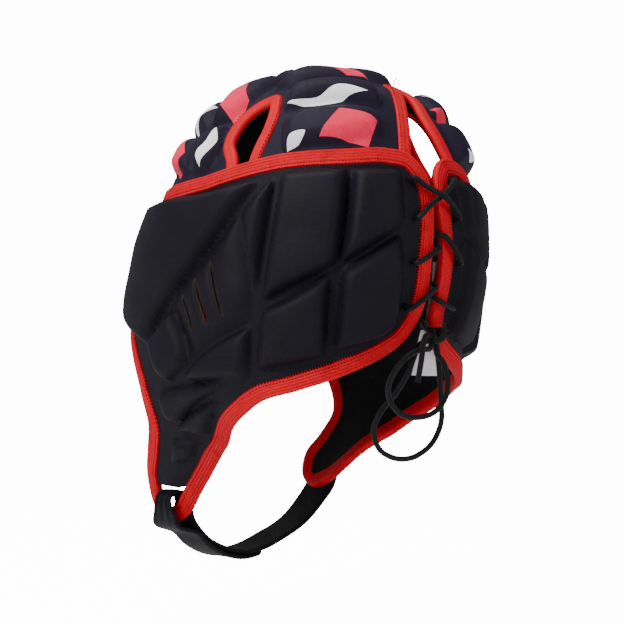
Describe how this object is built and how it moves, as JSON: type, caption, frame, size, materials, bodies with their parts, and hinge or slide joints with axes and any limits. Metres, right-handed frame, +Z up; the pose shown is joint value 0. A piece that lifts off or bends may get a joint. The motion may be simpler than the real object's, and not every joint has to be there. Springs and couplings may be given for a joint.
{
  "type": "rugby scrum cap",
  "caption": "Padded rugby scrum cap with laced back, vented padded crown, stretch bindings, ear slits and a chin strap.",
  "frame": {"origin": "inside of the crown's top, where a head carries the cap", "axes": "+Z up out of the crown, the face opening looks along -Y, +X is the wearer's left"},
  "size_m": [0.1741, 0.2177, 0.2745],
  "materials": {
    "panel": "smooth stretch knit over moulded foam",
    "crown": "printed stretch knit over soft foam",
    "binding": "ribbed elastic tape",
    "vent_binding": "smooth folded stretch tape",
    "strap": "woven webbing",
    "lace": "round braided elastic",
    "label": "blank satin label"
  },
  "bodies": {
    "root": {"left_panel": "panel", "right_panel": "panel", "left_panel_binding": "binding", "right_panel_binding": "binding", "crown": "crown", "left_vent_binding": "vent_binding", "rear_vent_binding": "vent_binding", "right_vent_binding": "vent_binding", "chin_strap": "strap", "lace": "lace", "lace_small_loop": "lace", "lace_large_loop": "lace", "lace_long_tail": "lace", "lace_short_tail": "lace", "lace_knot": "lace", "care_label": "label"}
  },
  "joints": []
}
